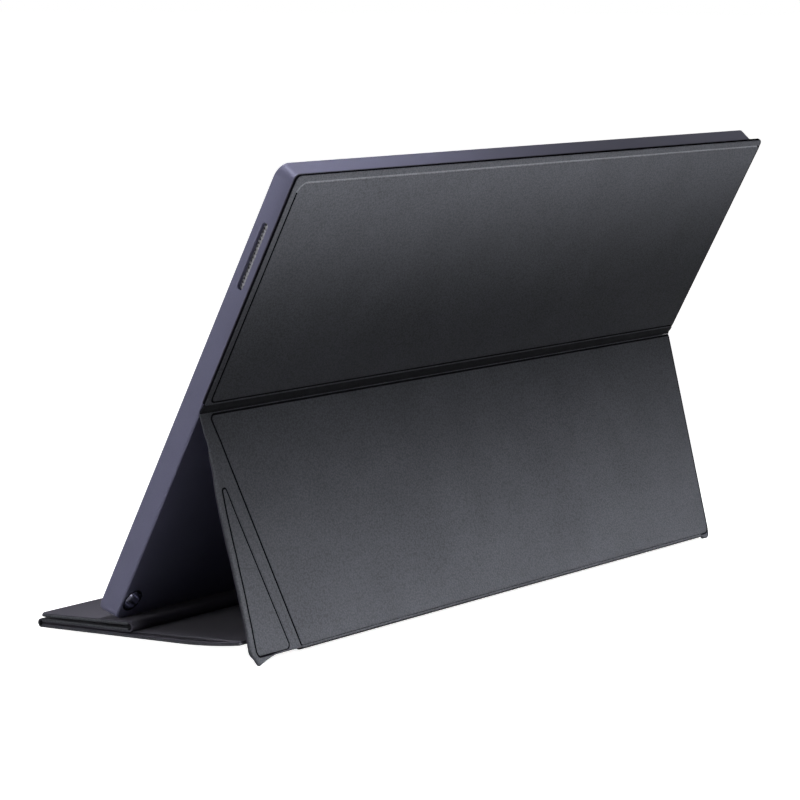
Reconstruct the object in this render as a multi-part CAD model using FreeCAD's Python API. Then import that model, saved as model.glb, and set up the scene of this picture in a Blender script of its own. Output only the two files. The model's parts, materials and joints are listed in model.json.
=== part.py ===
"""Portable monitor standing in its fold-up cover.

The display leans back on a three-layer base and is propped by the stand panel of its cover.
Every piece is drawn flat in a sheet frame (x, s, h): x across, s along the sheet, h through it.
The sheet is then set at its own angle in the standing object. Lengths are in millimetres.
"""
import FreeCAD
import Part
import math
import os

V = FreeCAD.Vector

# Display envelope
display_width = 359.7
display_height = 227.4
display_depth = 9.4
display_corner_radius = 6.0
side_taper = 1.8
housing_edge_break = 0.5
display_tilt_deg = 28.15
foot_clearance = 0.05

# Housing shell and bezel
housing_side_wall = 1.2
housing_back_wall = 1.0
bezel_rim = 1.0
bezel_thickness = 1.0
screen_side_margin = 7.75
screen_top_margin = 9.0
screen_bottom_margin = 24.8
status_light_radius = 0.7
status_light_height = 11.0

# Screen stack, from the front
cell_border = 2.4
cell_bottom_border = 5.0
cell_thickness = 0.9
film_thickness = 0.4
guide_thickness = 0.7
reflector_thickness = 0.2
tray_sheet = 0.4
led_bar_height = 1.6
tape_thickness = 0.3
tape_width = 6.0
tape_length = 84.0
driver_board_width = 240.0
driver_board_height = 12.0
flex_width = 22.0
flex_sheet = 0.15
flex_count = 4

# Boards, sockets and sound
board_seat = 0.3
board_thickness = 0.8
main_board_width = 92.0
main_board_low_share = 0.11
shield_size = 36.0
shield_height = 1.6
shield_sheet = 0.25
chip_size = 14.0
chip_height = 0.9
cable_width = 14.0
usb_width = 9.0
usb_height = 3.2
usb_depth = 7.4
usb_shell = 0.3
usb_tongue = 0.7
hdmi_width = 6.5
hdmi_height = 2.9
hdmi_depth = 7.5
jack_bore_radius = 1.75
jack_body_width = 6.0
jack_body_height = 4.4
jack_depth = 12.0
socket_end_margin = 9.0
socket_clearance = 0.2
speaker_length = 42.0
speaker_width = 22.0
speaker_slot_length = 32.1
speaker_slot_width = 2.9
speaker_slot_share = 0.8175
speaker_slot_setback = 0.7
mesh_thickness = 0.5
mesh_hole_radius = 0.45
mesh_hole_rows = 2
mesh_holes_per_row = 18
lead_width = 1.6
lead_thickness = 0.8

# Side buttons
button_length = 8.0
button_width = 2.4
button_proud = 0.4
button_clearance = 0.15
button_travel = 0.4
button_flange = 0.6
button_flange_lip = 0.7
button_top_share = 0.6596
button_pitch = 13.0
button_board_gap = 8.5
button_board_width = 7.0
switch_length = 4.0

# Pen hole through the lower corner
pen_hole_radius = 4.65
pen_hole_wall = 0.75
pen_hole_from_side = 8.4
pen_hole_from_bottom = 11.0
pen_boss_wall = 1.0

# Fasteners and the plates that the cover clings to
screw_shank_radius = 0.8
screw_head_radius = 1.7
screw_head_height = 0.6
boss_radius = 2.2
keeper_height = 12.0
keeper_thickness = 0.5
magnet_length = 30.0
magnet_width = 8.0
magnet_count = 4

# Cover sheets
cover_side_margin = 0.35
cover_skin = 0.5
cover_lining = 0.5
upper_board_thickness = 1.1
upper_fold_gap = 5.5
upper_top_margin = 0.6
upper_corner_radius = 2.5
upper_side_hem = 4.7
upper_top_hem = 2.9
groove_width = 0.5
groove_depth = 0.25
strip_thickness = 0.8
seam_gap = 0.05
board_fit = 0.1

# Stand panel, hinged behind the middle of the display
stand_pivot_share = 0.4903
stand_pivot_behind = 1.2
stand_lean_deg = 14.6
stand_closed_gap = 0.3
stand_board_thickness = 1.0
stand_start = 1.8
foot_crease_height = 1.62
stand_top_hem = 1.2
stand_side_hem = 3.0
stand_bottom_hem = 1.2
ear_drop = 3.8
ear_width = 6.5

# Corner of the stand, beyond the diagonal crease
crease_top_inset = 3.3
crease_bottom_inset = 30.5
corner_strip_width = 4.0
corner_apex_drop = 11.0
corner_hem = 3.0

# Spine strip behind the foot
spine_length = 6.8
spine_thickness = 1.6
spine_gap = 0.5
spine_end_from_pivot = 1.0
stand_end_from_pivot = 1.0
spine_side_inset = 8.0
spine_hem = 1.4
base_end_from_pivot = 1.2

# Base flap, folded in three
base_slope_deg = 3.3
base_skin = 0.5
base_board = 0.7
base_lining = 0.4
base_hem = 3.0
base_front = 43.5
base_straight = 84.0
middle_length = 54.0
top_length = 55.5
top_corner_radius = 3.0
front_fold_gap = 0.8
back_fold_gap = 1.5
top_front_gap = 0.8
fold_setback = 0.3
flap_magnet_length = 40.0
flap_magnet_width = 6.0

# Overrun shared by every cut
overrun = 2.0

# Sizes worked out from the driving dimensions
half_width = display_width / 2
cover_half_width = half_width - cover_side_margin
bezel_back = display_depth - bezel_thickness
cell_back = bezel_back - cell_thickness
film_back = cell_back - film_thickness
guide_back = film_back - guide_thickness
reflector_back = guide_back - reflector_thickness
tray_back = reflector_back - tray_sheet
floor = housing_back_wall
board_back = floor + board_seat
board_front = board_back + board_thickness
cavity_half = half_width - side_taper - housing_side_wall
cavity_low = side_taper + housing_side_wall
cavity_high = display_height - cavity_low
screen_half = half_width - screen_side_margin
screen_high = display_height - screen_top_margin
screen_low = screen_bottom_margin
cell_half = screen_half + cell_border
cell_low = screen_low - cell_bottom_border
cell_high = screen_high + cell_border
pen_x = half_width - pen_hole_from_side
pen_sleeve_radius = pen_hole_radius + pen_hole_wall
pen_boss_radius = pen_sleeve_radius + pen_boss_wall
stand_pivot_height = display_height * stand_pivot_share
upper_bottom_height = stand_pivot_height + upper_fold_gap
upper_high = display_height - upper_top_margin
upper_thickness = cover_lining + upper_board_thickness + cover_skin
stand_thickness = cover_lining + stand_board_thickness + cover_skin
stand_inner = stand_closed_gap - stand_pivot_behind
stand_outer = stand_inner + stand_thickness
base_layer = base_skin + base_board + base_lining
middle_low = base_layer + front_fold_gap
middle_high = middle_low + base_layer
top_low_at_back = middle_high + back_fold_gap
wedge_deg = math.degrees(math.atan2(back_fold_gap - top_front_gap, middle_length))


def frame(y, z, angle_deg):
    """Place a sheet whose s direction makes the given angle with the table, at a point of the side view."""
    return FreeCAD.Placement(V(0, y, z), FreeCAD.Rotation(V(1, 0, 0), angle_deg))


def put(shape, placement):
    """Move a shape from its sheet frame into the standing object."""
    moved = shape.copy()
    moved.Placement = placement.multiply(moved.Placement)
    return moved


def block(x0, x1, s0, s1, h0, h1):
    """Rectangular solid between two corners."""
    return Part.makeBox(x1 - x0, s1 - s0, h1 - h0, V(x0, s0, h0))


def prism(points, h0, h1, radius=0):
    """Solid of a flat outline between two levels, with its standing edges rounded."""
    low, high = min(h0, h1), max(h0, h1)
    corners = [V(x, s, low) for x, s in points]
    solid = Part.Face(Part.makePolygon(corners + corners[:1])).extrude(V(0, 0, high - low))
    if radius:
        standing = [edge for edge in solid.Edges if edge.BoundBox.ZLength > (high - low) / 2]
        solid = solid.makeFillet(radius, standing)
    return solid


def rectangle(x0, x1, s0, s1):
    """Corners of a rectangle, counter-clockwise."""
    return [(x0, s0), (x1, s0), (x1, s1), (x0, s1)]


def plate(x0, x1, s0, s1, h0, h1, radius=0):
    """Flat plate with rounded plan corners."""
    return prism(rectangle(x0, x1, s0, s1), h0, h1, radius)


def inset(points, distances):
    """Move each side of a convex counter-clockwise outline inwards by its own distance."""
    sides = []
    for i, (x, s) in enumerate(points):
        nx, ns = points[(i + 1) % len(points)]
        length = math.hypot(nx - x, ns - s)
        dx, ds = (nx - x) / length, (ns - s) / length
        sides.append((x - ds * distances[i], s + dx * distances[i], dx, ds))
    corners = []
    for i, (x, s, dx, ds) in enumerate(sides):
        px, ps, pdx, pds = sides[i - 1]
        along = ((x - px) * ds - (s - ps) * dx) / (pdx * ds - pds * dx)
        corners.append((px + pdx * along, ps + pds * along))
    return corners


def across(points, x0, x1):
    """Solid of a side profile in (s, h), drawn across the object from x0 to x1."""
    corners = [V(x0, s, h) for s, h in points]
    return Part.Face(Part.makePolygon(corners + corners[:1])).extrude(V(x1 - x0, 0, 0))


def slot_across(s, h, length, width, x0, x1):
    """Round-ended slot through a side wall, long in s."""
    radius = width / 2
    reach = length / 2 - radius
    solid = block(x0, x1, s - reach, s + reach, h - radius, h + radius)
    for end in (s - reach, s + reach):
        solid = solid.fuse(Part.makeCylinder(radius, x1 - x0, V(x0, end, h), V(1, 0, 0)))
    return solid.removeSplitter()


def post(x, s, radius, h0, h1):
    """Round post or hole standing on the sheet."""
    return Part.makeCylinder(radius, h1 - h0, V(x, s, h0))


def cut_all(shape, tools):
    """Take a list of shapes out of a solid."""
    for tool in tools:
        shape = shape.cut(tool)
    return shape


def ribbon(points, thickness, x0, x1):
    """Bent strip of even thickness along a line of points in the side view."""
    left, right = [], []
    for i, (s, h) in enumerate(points):
        before = points[max(i - 1, 0)]
        after = points[min(i + 1, len(points) - 1)]
        ends = [(before, (s, h)), ((s, h), after)]
        turns = [math.atan2(b[1] - a[1], b[0] - a[0]) for a, b in ends if a != b]
        mean = sum(turns) / len(turns)
        reach = thickness / 2 / math.cos((turns[-1] - turns[0]) / 2)
        left.append((s - reach * math.sin(mean), h + reach * math.cos(mean)))
        right.append((s + reach * math.sin(mean), h - reach * math.cos(mean)))
    return across(left + right[::-1], x0, x1)


def fold(side, s_low, s_high, s_centre, h_low, h_high, x0, x1):
    """U-shaped strip round a fold: side is 1 where the bend points along +s and -1 the other way."""
    middle = (h_low + h_high) / 2
    outer = (h_high - h_low) / 2
    inner = outer - strip_thickness

    def at(s, h):
        return V(x0, s, h)

    edges = [
        Part.LineSegment(at(s_low, h_low), at(s_centre, h_low)),
        Part.Arc(at(s_centre, h_low), at(s_centre + side * outer, middle), at(s_centre, h_high)),
        Part.LineSegment(at(s_centre, h_high), at(s_high, h_high)),
        Part.LineSegment(at(s_high, h_high), at(s_high, middle + inner)),
        Part.LineSegment(at(s_high, middle + inner), at(s_centre, middle + inner)),
        Part.Arc(at(s_centre, middle + inner), at(s_centre + side * inner, middle),
                 at(s_centre, middle - inner)),
        Part.LineSegment(at(s_centre, middle - inner), at(s_low, middle - inner)),
        Part.LineSegment(at(s_low, middle - inner), at(s_low, h_low)),
    ]
    wire = Part.Wire([edge.toShape() for edge in edges])
    return Part.Face(wire).extrude(V(x1 - x0, 0, 0))


def sandwich(points, hems, start, facing, skin, board, lining, radius=0):
    """Skin, board and lining of one cover panel, stacked from the lining's free face."""
    lining_top = start + facing * lining
    board_top = lining_top + facing * board
    skin_top = board_top + facing * skin
    board_outline = inset(points, hems)
    pocket = prism(inset(points, [hem - board_fit for hem in hems]), lining_top, board_top)
    groove = prism(board_outline, skin_top, skin_top - facing * groove_depth)
    raised = inset(board_outline, [groove_width] * len(points))
    groove = groove.cut(prism(raised, skin_top, skin_top - facing * groove_depth))
    return {
        "skin": prism(points, lining_top, skin_top, radius).cut(pocket).cut(groove),
        "board": prism(board_outline, lining_top, board_top),
        "lining": prism(points, start, lining_top, radius),
    }


def rounded_outline(grow, level):
    """Closed wire of the display's outline, moved inwards at a level of its depth."""
    outline = rectangle(grow - half_width, half_width - grow, grow, display_height - grow)
    flat = prism(outline, level, level + display_depth, display_corner_radius - grow)
    bottom = [f for f in flat.Faces if f.CenterOfMass.z < level + display_depth / 4]
    return min(bottom, key=lambda f: f.CenterOfMass.z).OuterWire


# Sheet frames of the base: the top layer starts at the back fold and comes forward, a little steeper
slope = math.radians(base_slope_deg)
front_fold_radius = middle_high / 2
base_rise = front_fold_radius * (1 - math.cos(slope)) + fold_setback * math.sin(slope)
base_frame = frame(-base_front, base_rise, base_slope_deg)
top_origin = base_frame.multVec(V(0, middle_length, top_low_at_back))
top_frame = frame(top_origin.y, top_origin.z, base_slope_deg + wedge_deg)
side_lean = side_taper / display_depth
edge_points = [(side_taper + housing_edge_break, 0),
               (side_taper - side_lean * housing_edge_break, housing_edge_break)]


def foot_height():
    """Height of the display's sheet that sets its lower rear edge just clear of the top layer's lining."""
    heights = []
    for s, h in edge_points:
        edge = frame(0, 0, 90 - display_tilt_deg).multVec(V(0, s, h))
        reach = (edge.y - top_origin.y) / math.cos(math.radians(base_slope_deg + wedge_deg))
        below = top_frame.multVec(V(0, reach, base_layer))
        heights.append(below.z + foot_clearance - edge.z)
    return max(heights)


# Sheet frames of the display and of the stand behind it
display_frame = frame(0, foot_height(), 90 - display_tilt_deg)
pivot_point = display_frame.multVec(V(0, stand_pivot_height, -stand_pivot_behind))
stand_frame = frame(pivot_point.y, pivot_point.z, stand_lean_deg - 90)
lean = math.radians(stand_lean_deg)
foot_pivot_h = stand_inner - spine_gap / 2
foot_pivot_s = (pivot_point.z - foot_crease_height + foot_pivot_h * math.sin(lean)) / math.cos(lean)
stand_length = foot_pivot_s - stand_end_from_pivot
ear_length = stand_length + ear_drop

# Places on the display's edge: the picture board fills the height below the buttons
speaker_slot_centre = display_height * speaker_slot_share
button_top = display_height * button_top_share
main_board_low = display_height * main_board_low_share
button_heights = [button_top - button_pitch * i for i in (2, 1, 0)]
main_board_height = button_heights[0] - button_pitch / 2 - button_board_gap - main_board_low
socket_pitch = (main_board_height - 2 * socket_end_margin) / 4
socket_heights = [main_board_low + socket_end_margin + socket_pitch * i for i in range(4)]
socket_level = board_front + usb_height / 2
button_level = board_front + button_width / 2 + button_flange
button_wall = half_width - side_taper + side_lean * button_level
main_board_x = -cavity_half + socket_clearance
keeper_heights = [upper_bottom_height + upper_side_hem + keeper_height,
                  upper_high - upper_top_hem - keeper_height]
screw_places = [
    (main_board_x + main_board_width - boss_radius * 2, main_board_low + boss_radius * 2),
    (main_board_x + main_board_width - boss_radius * 2, main_board_low + main_board_height - boss_radius * 2),
    (main_board_x + main_board_width / 2, main_board_low + boss_radius * 2),
    (main_board_x + main_board_width / 2, main_board_low + main_board_height - boss_radius * 2),
]
usb_places = socket_heights[:2]
hdmi_place = socket_heights[2]
jack_place = socket_heights[3]
jack_level = floor + jack_body_height / 2
pen_axis = [pen_x, pen_hole_from_bottom]
speaker_inner = cavity_half - socket_clearance


def rear_housing():
    """Tapered metal shell with its ledge, sockets, slots, bosses and the pen hole."""
    outlines = edge_points + [(0, display_depth)]
    shell = Part.makeLoft([rounded_outline(grow, level) for grow, level in outlines], True, True)
    cavity = plate(-cavity_half, cavity_half, cavity_low, cavity_high, floor, display_depth + overrun,
                   display_corner_radius - side_taper)
    ledge = plate(bezel_rim - half_width, half_width - bezel_rim, bezel_rim, display_height - bezel_rim,
                  bezel_back, display_depth + overrun, display_corner_radius - bezel_rim)
    shell = cut_all(shell, [cavity, ledge])
    shell = shell.fuse(post(*pen_axis, pen_boss_radius, 0, bezel_back).common(
        block(0, half_width, cavity_low - overrun, cavity_high, floor / 2, bezel_back)))
    rail_top = tray_back - tape_thickness
    rails = [block(x - tape_width / 2, x + tape_width / 2, rail_low, rail_low + tape_length,
                   floor / 2, rail_top) for x in rail_places]
    seats = [post(x, s, boss_radius, floor / 2, board_back) for x, s in screw_places]
    for feature in rails + seats:
        shell = shell.fuse(feature)
    outside = half_width + overrun
    inside = cavity_half - overrun
    holes = [post(*pen_axis, pen_sleeve_radius, -overrun, display_depth + overrun)]
    holes += [post(x, s, screw_shank_radius, floor / 2, board_back) for x, s in screw_places]
    for s in usb_places:
        holes.append(slot_across(s, socket_level, usb_width + 2 * socket_clearance,
                                 usb_height + 2 * socket_clearance, -outside, -inside))
    holes.append(slot_across(hdmi_place, board_front + hdmi_height / 2, hdmi_width + 2 * socket_clearance,
                             hdmi_height + 2 * socket_clearance, -outside, -inside))
    holes.append(Part.makeCylinder(jack_bore_radius + socket_clearance, outside - inside,
                                   V(-outside, jack_place, jack_level), V(1, 0, 0)))
    for s in button_heights:
        holes.append(slot_across(s, button_level, button_length + 2 * button_clearance,
                                 button_width + 2 * button_clearance, -outside, -inside))
    for x0, x1 in ((-outside, -inside), (inside, outside)):
        holes.append(slot_across(speaker_slot_centre, display_depth / 2, speaker_slot_length,
                                 speaker_slot_width, x0, x1))
    return cut_all(shell, holes).removeSplitter()


rail_places = [-cavity_half + speaker_width * 3, cavity_half - speaker_width * 3]
keeper_half = rail_places[1] - tape_width
rail_low = main_board_low + main_board_height + boss_radius + lead_width * 5


def front_bezel():
    """Flat frame round the screen, set into the housing's ledge."""
    gap = board_fit / 2
    edge = bezel_rim + gap
    solid = plate(edge - half_width, half_width - edge, edge, display_height - edge, bezel_back,
                  display_depth, display_corner_radius - bezel_rim)
    window = plate(-screen_half, screen_half, screen_low, screen_high, bezel_back - overrun,
                   display_depth + overrun)
    pen = post(*pen_axis, pen_sleeve_radius, bezel_back - overrun, display_depth + overrun)
    light = post(0, status_light_height, status_light_radius, bezel_back - overrun, display_depth + overrun)
    return cut_all(solid, [window, pen, light])


def sheet_of_screen(low, high, shrink):
    """One sheet of the screen stack, inside the tray's rim."""
    return block(shrink - cell_half, cell_half - shrink, cell_low + shrink, cell_high - shrink, low, high)


def panel_tray():
    """Shallow steel tray that carries the backlight, with a thin rim under the glass."""
    solid = block(-cell_half, cell_half, cell_low, cell_high, tray_back, cell_back)
    return solid.cut(block(tray_sheet - cell_half, cell_half - tray_sheet, cell_low + tray_sheet,
                           cell_high - tray_sheet, reflector_back, cell_back + overrun))


def light_guide():
    """Clear plate that spreads the light, cut short for the lamp bar."""
    inside = tray_sheet
    return block(inside - cell_half, cell_half - inside, cell_low + inside + led_bar_height,
                 cell_high - inside, guide_back, film_back)


def led_bar():
    """Row of lamps along the lower edge of the light guide."""
    inside = tray_sheet
    return block(inside - cell_half, cell_half - inside, cell_low + inside,
                 cell_low + inside + led_bar_height, guide_back, film_back)


driver_low = cell_low + driver_board_height / 2
driver_back = tray_back - board_thickness


def panel_driver_board():
    """Long narrow board on the back of the tray."""
    return block(-driver_board_width / 2, driver_board_width / 2, driver_low,
                 driver_low + driver_board_height, driver_back, tray_back)


def panel_flexes():
    """Films that bring the picture round the tray's lower edge to the glass."""
    run = cell_low - 2 * tray_sheet
    glass_level = cell_back + cell_thickness / 2
    rear_level = driver_back - flex_sheet
    reach = driver_low + driver_board_height / 2
    outer = run - flex_sheet
    profile = [(cell_low, glass_level), (cell_low, glass_level + flex_sheet),
               (outer, glass_level + flex_sheet), (outer, rear_level), (reach, rear_level),
               (reach, driver_back), (run, driver_back), (run, glass_level)]
    pitch = (driver_board_width - flex_width) / (flex_count - 1)
    starts = [-driver_board_width / 2 + pitch * i for i in range(flex_count)]
    return Part.makeCompound([across(profile, x, x + flex_width) for x in starts])


def main_board():
    """Picture board behind the sockets, on the housing's seats."""
    solid = block(main_board_x, main_board_x + main_board_width, main_board_low,
                  main_board_low + main_board_height, board_back, board_front)
    jack_half = jack_body_width / 2 + socket_clearance
    jack = block(main_board_x - overrun, main_board_x + jack_depth + socket_clearance, jack_place - jack_half,
                 jack_place + jack_half, board_back - overrun, board_front + overrun)
    holes = [post(x, s, screw_shank_radius, board_back - overrun, board_front + overrun)
             for x, s in screw_places]
    return cut_all(solid, [jack] + holes)


def board_screws():
    """Pan-head screws that hold the picture board to its seats."""
    screws = []
    for x, s in screw_places:
        shank = post(x, s, screw_shank_radius, floor / 2, board_front)
        screws.append(shank.fuse(post(x, s, screw_head_radius, board_front, board_front + screw_head_height)))
    return Part.makeCompound(screws)


shield_x = main_board_x + usb_depth + jack_depth
shield_s = main_board_low + (main_board_height - shield_size) / 2


def board_shield():
    """Pressed can over the picture chip."""
    solid = block(shield_x, shield_x + shield_size, shield_s, shield_s + shield_size, board_front,
                  board_front + shield_height)
    return solid.cut(block(shield_x + shield_sheet, shield_x + shield_size - shield_sheet,
                           shield_s + shield_sheet, shield_s + shield_size - shield_sheet,
                           board_front - overrun, board_front + shield_height - shield_sheet))


def picture_chip():
    """Chip under the can."""
    x = shield_x + (shield_size - chip_size) / 2
    s = shield_s + (shield_size - chip_size) / 2
    return block(x, x + chip_size, s, s + chip_size, board_front, board_front + chip_height)


def panel_cable():
    """Flat cable from the picture board up to the board on the tray."""
    s = main_board_low + driver_board_height / 2 + usb_width * 2
    reach = driver_low + driver_board_height
    outer = reach + flex_sheet
    landing = reach - driver_board_height / 4
    profile = [(s, board_front), (s, board_front + flex_sheet), (outer, board_front + flex_sheet),
               (outer, driver_back), (landing, driver_back), (landing, driver_back - flex_sheet),
               (reach, driver_back - flex_sheet), (reach, board_front)]
    x = main_board_x + main_board_width - cable_width - boss_radius * 4
    return across(profile, x, x + cable_width)


socket_mouth = socket_clearance - half_width + side_taper


def usb_c_sockets():
    """Two oval metal sockets, each with its tongue."""
    sockets = []
    for s in usb_places:
        back = socket_mouth + usb_depth
        shell = slot_across(s, socket_level, usb_width, usb_height, socket_mouth, back)
        hollow = slot_across(s, socket_level, usb_width - 2 * usb_shell, usb_height - 2 * usb_shell,
                             socket_mouth - overrun, back - usb_shell)
        tongue = block(socket_mouth + usb_shell, back, s - usb_width / 3, s + usb_width / 3,
                       socket_level - usb_tongue / 2, socket_level + usb_tongue / 2)
        sockets.append(shell.cut(hollow).fuse(tongue).removeSplitter())
    return Part.makeCompound(sockets)


def hdmi_micro_socket():
    """Small flat picture socket with its tongue."""
    level = board_front + hdmi_height / 2
    back = socket_mouth + hdmi_depth
    shell = slot_across(hdmi_place, level, hdmi_width, hdmi_height, socket_mouth, back)
    hollow = slot_across(hdmi_place, level, hdmi_width - 2 * usb_shell, hdmi_height - 2 * usb_shell,
                         socket_mouth - overrun, back - usb_shell)
    tongue = block(socket_mouth + usb_shell, back, hdmi_place - hdmi_width / 4, hdmi_place + hdmi_width / 4,
                   level - usb_tongue / 2, level + usb_tongue / 2)
    return shell.cut(hollow).fuse(tongue).removeSplitter()


def audio_jack():
    """Headphone socket with its round bore, in a notch of the picture board."""
    body = block(main_board_x, main_board_x + jack_depth, jack_place - jack_body_width / 2,
                 jack_place + jack_body_width / 2, floor, floor + jack_body_height)
    mouth = V(main_board_x - usb_shell, jack_place, jack_level)
    return body.cut(Part.makeCylinder(jack_bore_radius, jack_depth, mouth, V(1, 0, 0)))


def speaker(side):
    """Flat loudspeaker box behind its slot."""
    x0, x1 = sorted((side * speaker_inner, side * (speaker_inner - speaker_width)))
    s0 = speaker_slot_centre - speaker_length / 2
    box = plate(x0, x1, s0, s0 + speaker_length, floor, tray_back - tape_thickness, display_corner_radius / 2)
    ends = sorted((side * (speaker_inner + overrun), side * (speaker_inner - overrun)))
    mouth = slot_across(speaker_slot_centre, display_depth / 2 - speaker_slot_width / 2, speaker_slot_length,
                        speaker_slot_width / 2, *ends)
    return box.cut(mouth)


mesh_outer = half_width - side_taper - speaker_slot_setback


def speaker_mesh(side):
    """Perforated strip set back in the speaker slot."""
    x0, x1 = sorted((side * mesh_outer, side * (mesh_outer - mesh_thickness)))
    strip = slot_across(speaker_slot_centre, display_depth / 2, speaker_slot_length - board_fit,
                        speaker_slot_width - board_fit, x0, x1)
    pitch = (speaker_slot_length - speaker_slot_width) / (mesh_holes_per_row - 1)
    row = speaker_slot_width / 2 / mesh_hole_rows
    start = speaker_slot_centre - (speaker_slot_length - speaker_slot_width) / 2
    holes = []
    for i in range(mesh_holes_per_row):
        for j in range(mesh_hole_rows):
            h = display_depth / 2 + row * (2 * j - mesh_hole_rows + 1)
            holes.append(Part.makeCylinder(mesh_hole_radius, x1 - x0 + 2 * overrun,
                                           V(x0 - overrun, start + pitch * i, h), V(1, 0, 0)))
    return strip.cut(Part.makeCompound(holes))


def speaker_leads():
    """Flat twin leads from the speakers along the back wall to the picture board."""
    end = main_board_low + main_board_height
    level = end + boss_radius
    low = speaker_slot_centre - speaker_length / 2
    leads = []
    stops = [main_board_x + main_board_width / 4, main_board_x + main_board_width - boss_radius * 4]
    for i, (side, stop) in enumerate(zip((-1, 1), stops)):
        x = side * (speaker_inner - speaker_width / 2)
        run = level + i * lead_width * 2
        path = [block(x - lead_width / 2, x + lead_width / 2, run, low, floor, floor + lead_thickness)]
        x0, x1 = sorted((x - side * lead_width / 2, stop))
        x1 += lead_width if side > 0 else 0
        path.append(block(x0, x1, run, run + lead_width, floor, floor + lead_thickness))
        path.append(block(stop, stop + lead_width, end, run + lead_width, floor, floor + lead_thickness))
        leads.append(path[0].fuse(path[1]).fuse(path[2]).removeSplitter())
    return Part.makeCompound(leads)


button_inner = cavity_half - button_flange - button_clearance
switch_face = button_inner - button_travel - button_clearance


def side_button(s):
    """Round-ended key with a flange behind the wall."""
    face = -button_wall - button_proud
    cap = slot_across(s, button_level, button_length, button_width, face, -button_inner)
    flange = slot_across(s, button_level, button_length + 2 * button_flange_lip, button_width + button_flange,
                         -button_inner - button_flange, -button_inner)
    return cap.fuse(flange).removeSplitter()


def button_board():
    """Narrow board that carries one switch behind each key."""
    low = button_heights[0] - button_pitch / 2
    high = button_heights[-1] + button_pitch / 2
    x1 = -switch_face + button_board_width
    solid = block(-switch_face, x1, low, high, floor, button_level - button_width / 4)
    for s in button_heights:
        solid = solid.fuse(block(-switch_face, x1 - button_board_width / 3, s - switch_length / 2,
                                 s + switch_length / 2, floor, button_level + button_width / 2))
    return solid.removeSplitter()


def pen_hole_sleeve():
    """Polished lining of the pen hole, right through the corner."""
    return post(*pen_axis, pen_sleeve_radius, 0, display_depth).cut(
        post(*pen_axis, pen_hole_radius, -overrun, display_depth + overrun))


def status_light():
    """Small light window in the chin."""
    return post(0, status_light_height, status_light_radius, bezel_back, display_depth)


def panel_tapes():
    """Adhesive strips between the housing rails and the tray."""
    return Part.makeCompound([block(x - tape_width / 2, x + tape_width / 2, rail_low, rail_low + tape_length,
                                    tray_back - tape_thickness, tray_back) for x in rail_places])


def keeper_plates():
    """Steel strips inside the back wall that the cover's magnets pull on."""
    return Part.makeCompound([block(-keeper_half, keeper_half, s - keeper_height / 2, s + keeper_height / 2,
                                    floor, floor + keeper_thickness) for s in keeper_heights])


magnet_reach = keeper_half - magnet_length / 2
magnet_xs = [magnet_reach * (2 * i / (magnet_count - 1) - 1) for i in range(magnet_count)]


def magnet_bars(grow):
    """Bar magnets of the upper panel, or their pockets when grown."""
    low = -cover_lining - upper_board_thickness
    return [block(x - magnet_length / 2 - grow, x + magnet_length / 2 + grow, s - magnet_width / 2 - grow,
                  s + magnet_width / 2 + grow, low, -cover_lining) for s in keeper_heights for x in magnet_xs]


def upper_panel():
    """Panel that clings to the upper half of the display's back."""
    outline = rectangle(-cover_half_width, cover_half_width, upper_bottom_height, upper_high)
    hems = [upper_side_hem, upper_side_hem, upper_top_hem, upper_side_hem]
    pieces = sandwich(outline, hems, 0, -1, cover_skin, upper_board_thickness, cover_lining,
                      upper_corner_radius)
    pieces["board"] = cut_all(pieces["board"], magnet_bars(board_fit))
    return pieces


def stand_point(s, h):
    """Point of the side view on the stand's sheet."""
    point = stand_frame.multVec(V(0, s, h))
    return (point.y, point.z)


stand_edge = cover_half_width - crease_top_inset
stand_foot_edge = cover_half_width - crease_bottom_inset
table = block(-display_width, display_width, -display_height, display_height, -display_height, 0)


def on_table(shape):
    """Stand-sheet shape with whatever would go below the table taken off."""
    return put(shape, stand_frame).cut(table)


def ear(x0, board):
    """Rounded tip of the hem that carries one corner of the stand on the table."""
    tip = plate(x0, x0 + ear_width, stand_length - ear_width, ear_length, stand_inner + cover_lining,
                stand_outer, ear_width / 4)
    return tip.cut(board)


def stand_panel():
    """Main panel of the stand, right of the diagonal crease."""
    outline = [(-cover_half_width, stand_start), (stand_edge, stand_start), (stand_foot_edge, stand_length),
               (-cover_half_width, stand_length)]
    hems = [stand_top_hem, stand_side_hem, stand_bottom_hem, stand_side_hem]
    pieces = sandwich(outline, hems, stand_inner, 1, cover_skin, stand_board_thickness, cover_lining)
    pieces["skin"] = pieces["skin"].fuse(ear(-cover_half_width, pieces["board"])).removeSplitter()
    return pieces


corner_foot = stand_foot_edge + corner_strip_width
corner_outline = [(cover_half_width, corner_apex_drop), (cover_half_width, stand_length),
                  (corner_foot, stand_length)]


def corner_panel():
    """Triangular corner of the stand, left of the diagonal crease."""
    pieces = sandwich(corner_outline, [corner_hem, stand_bottom_hem, corner_hem], stand_inner, 1, cover_skin,
                      stand_board_thickness, cover_lining)
    tip = ear(cover_half_width - ear_width, pieces["board"])
    pieces["skin"] = pieces["skin"].fuse(tip).removeSplitter()
    return pieces


def corner_strip():
    """Soft strip along the diagonal crease."""
    gap = seam_gap * 2
    outline = [(stand_edge + gap, stand_start), (cover_half_width, stand_start),
               (cover_half_width, corner_apex_drop - gap * 2), (corner_foot - gap, stand_length),
               (stand_foot_edge + gap, stand_length)]
    return prism(outline, stand_outer - cover_skin - strip_thickness, stand_outer - cover_skin)


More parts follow.
